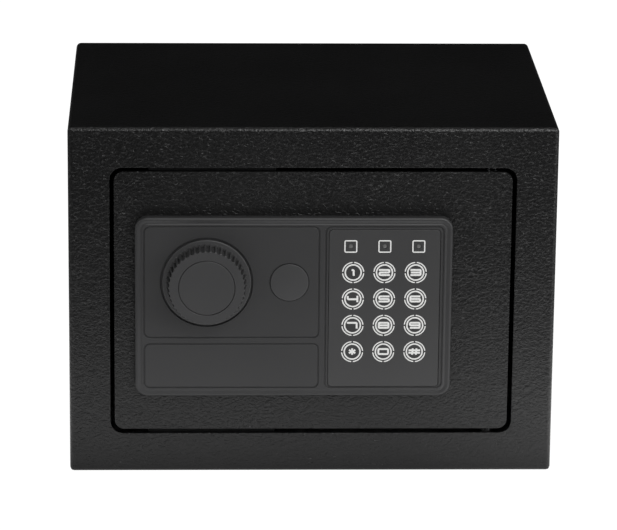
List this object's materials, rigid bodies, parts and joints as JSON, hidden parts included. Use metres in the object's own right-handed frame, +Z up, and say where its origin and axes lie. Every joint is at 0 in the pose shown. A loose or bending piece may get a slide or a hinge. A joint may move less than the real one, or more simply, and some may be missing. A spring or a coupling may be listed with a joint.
{
  "type": "safe deposit box",
  "caption": "Small black steel electronic safe deposit box: hinged door with turning knob, capped keyhole, twelve-key pad and lamps, two live bolts, battery bay inside the door.",
  "frame": {"origin": "centre of the steel body's base", "axes": "+Z up, the door faces -Y, +X to the right seen from the front"},
  "size_m": [0.23, 0.183, 0.17],
  "materials": {
    "body_paint": "fine wrinkle powder coat, satin black",
    "door_paint": "fine wrinkle powder coat, satin black",
    "bracket_paint": "powder coat, black",
    "tray_paint": "smooth black paint",
    "panel_plastic": "fine spark-eroded charcoal plastic",
    "overlay_plastic": "satin charcoal keypad face",
    "knob_plastic": "satin charcoal plastic",
    "key_plastic": "satin charcoal keys with pale print",
    "cap_plastic": "soft charcoal plastic",
    "lens_plastic": "unlit grey lamp lenses",
    "bolt_steel": "ground and plated steel",
    "plated_steel": "zinc-plated steel",
    "screw_steel": "bright plated screws",
    "lock_metal": "nickel-plated lock",
    "bush_brass": "turned brass bush",
    "coil_tape": "taped coil winding",
    "board_green": "green circuit board",
    "black_plastic": "black moulded plastic",
    "cell_sleeve": "plain printed sleeve",
    "contact_metal": "nickel-plated spring steel",
    "button_red": "red plastic",
    "wire_sleeve": "red and black insulated leads",
    "felt": "dark grey needled felt"
  },
  "bodies": {
    "case": {"body_shell": "body_paint", "back_panel": "body_paint", "hinge_bracket_upper": "bracket_paint", "hinge_bracket_lower": "bracket_paint", "door_stops": "bracket_paint", "floor_mat": "felt"},
    "door": {"door_plate": "door_paint", "door_pan": "tray_paint", "inner_cover": "tray_paint", "cover_screws": "screw_steel", "hinge_arm_upper": "bracket_paint", "hinge_arm_lower": "bracket_paint", "hinge_pin_upper": "bolt_steel", "hinge_pin_lower": "bolt_steel", "control_panel": "panel_plastic", "keypad_overlay": "overlay_plastic", "keypad_board": "board_green", "led_lenses": "lens_plastic", "panel_screws": "screw_steel", "spindle_bush": "bush_brass", "guide_studs": "plated_steel", "lock_housing": "lock_metal", "lock_nut": "plated_steel", "solenoid_frame": "plated_steel", "solenoid_coil": "coil_tape", "battery_holder": "black_plastic", "battery_cells": "cell_sleeve", "battery_contacts": "contact_metal", "control_board": "board_green", "buzzer": "black_plastic", "reset_switch": "black_plastic", "wire_loom": "wire_sleeve"},
    "turn_knob": {"knob": "knob_plastic", "knob_disc": "knob_plastic", "spindle": "bolt_steel", "crank": "plated_steel", "crank_pin": "bolt_steel"},
    "bolt_works": {"bolt_carriage": "plated_steel", "bolt_upper": "bolt_steel", "bolt_lower": "bolt_steel"},
    "plunger": {"solenoid_plunger": "bolt_steel", "plunger_pin": "bolt_steel"},
    "lock_core": {"lock_plug": "lock_metal", "lock_cam": "plated_steel", "cam_screw": "screw_steel"},
    "cap": {"keyhole_cap": "cap_plastic"},
    "cell_lid": {"battery_cover": "black_plastic"},
    "reset": {"reset_button": "button_red"},
    "keycap_1": {"key_1": "key_plastic"},
    "keycap_2": {"key_2": "key_plastic"},
    "keycap_3": {"key_3": "key_plastic"},
    "keycap_4": {"key_4": "key_plastic"},
    "keycap_5": {"key_5": "key_plastic"},
    "keycap_6": {"key_6": "key_plastic"},
    "keycap_7": {"key_7": "key_plastic"},
    "keycap_8": {"key_8": "key_plastic"},
    "keycap_9": {"key_9": "key_plastic"},
    "keycap_star": {"key_star": "key_plastic"},
    "keycap_0": {"key_0": "key_plastic"},
    "keycap_hash": {"key_hash": "key_plastic"}
  },
  "joints": [
    {"name": "door_swing", "type": "hinge", "parent": "case", "child": "door", "pos_m": [0.0845, -0.0765, 0.085], "axis": [0, 0, 1], "range_deg": [0, 100]},
    {"name": "knob_turn", "type": "hinge", "parent": "door", "child": "turn_knob", "pos_m": [-0.05, -0.0845, 0.09565], "axis": [0, -1, 0], "range_deg": [0, 70]},
    {"name": "bolts_slide", "type": "slide", "parent": "door", "child": "bolt_works", "axis": [-1, 0, 0], "range_m": [0, 0.01377]},
    {"name": "lock_turn", "type": "hinge", "parent": "door", "child": "lock_core", "pos_m": [-0.011, -0.0845, 0.09565], "axis": [0, 1, 0], "range_deg": [0, 90]},
    {"name": "plunger_slide", "type": "slide", "parent": "door", "child": "plunger", "axis": [0, 0, 1], "range_m": [0, 0.004]},
    {"name": "cap_pull", "type": "slide", "parent": "door", "child": "cap", "axis": [0, -1, 0], "range_m": [0, 0.02]},
    {"name": "cell_lid_pull", "type": "slide", "parent": "door", "child": "cell_lid", "axis": [0, 1, 0], "range_m": [0, 0.03]},
    {"name": "reset_press", "type": "slide", "parent": "door", "child": "reset", "axis": [0, -1, 0], "range_m": [0, 0.0012], "stiffness_N_per_m": 300},
    {"name": "key_1_press", "type": "slide", "parent": "door", "child": "keycap_1", "axis": [0, 1, 0], "range_m": [0, 0.0004], "stiffness_N_per_m": 400},
    {"name": "key_2_press", "type": "slide", "parent": "door", "child": "keycap_2", "axis": [0, 1, 0], "range_m": [0, 0.0004], "stiffness_N_per_m": 400},
    {"name": "key_3_press", "type": "slide", "parent": "door", "child": "keycap_3", "axis": [0, 1, 0], "range_m": [0, 0.0004], "stiffness_N_per_m": 400},
    {"name": "key_4_press", "type": "slide", "parent": "door", "child": "keycap_4", "axis": [0, 1, 0], "range_m": [0, 0.0004], "stiffness_N_per_m": 400},
    {"name": "key_5_press", "type": "slide", "parent": "door", "child": "keycap_5", "axis": [0, 1, 0], "range_m": [0, 0.0004], "stiffness_N_per_m": 400},
    {"name": "key_6_press", "type": "slide", "parent": "door", "child": "keycap_6", "axis": [0, 1, 0], "range_m": [0, 0.0004], "stiffness_N_per_m": 400},
    {"name": "key_7_press", "type": "slide", "parent": "door", "child": "keycap_7", "axis": [0, 1, 0], "range_m": [0, 0.0004], "stiffness_N_per_m": 400},
    {"name": "key_8_press", "type": "slide", "parent": "door", "child": "keycap_8", "axis": [0, 1, 0], "range_m": [0, 0.0004], "stiffness_N_per_m": 400},
    {"name": "key_9_press", "type": "slide", "parent": "door", "child": "keycap_9", "axis": [0, 1, 0], "range_m": [0, 0.0004], "stiffness_N_per_m": 400},
    {"name": "key_star_press", "type": "slide", "parent": "door", "child": "keycap_star", "axis": [0, 1, 0], "range_m": [0, 0.0004], "stiffness_N_per_m": 400},
    {"name": "key_0_press", "type": "slide", "parent": "door", "child": "keycap_0", "axis": [0, 1, 0], "range_m": [0, 0.0004], "stiffness_N_per_m": 400},
    {"name": "key_hash_press", "type": "slide", "parent": "door", "child": "keycap_hash", "axis": [0, 1, 0], "range_m": [0, 0.0004], "stiffness_N_per_m": 400}
  ],
  "couplings": [
    {"joint": "knob_turn", "follows": "bolts_slide", "rad_per_m": 88.749},
    {"joint": "lock_turn", "follows": "plunger_slide", "rad_per_m": 392.7}
  ]
}
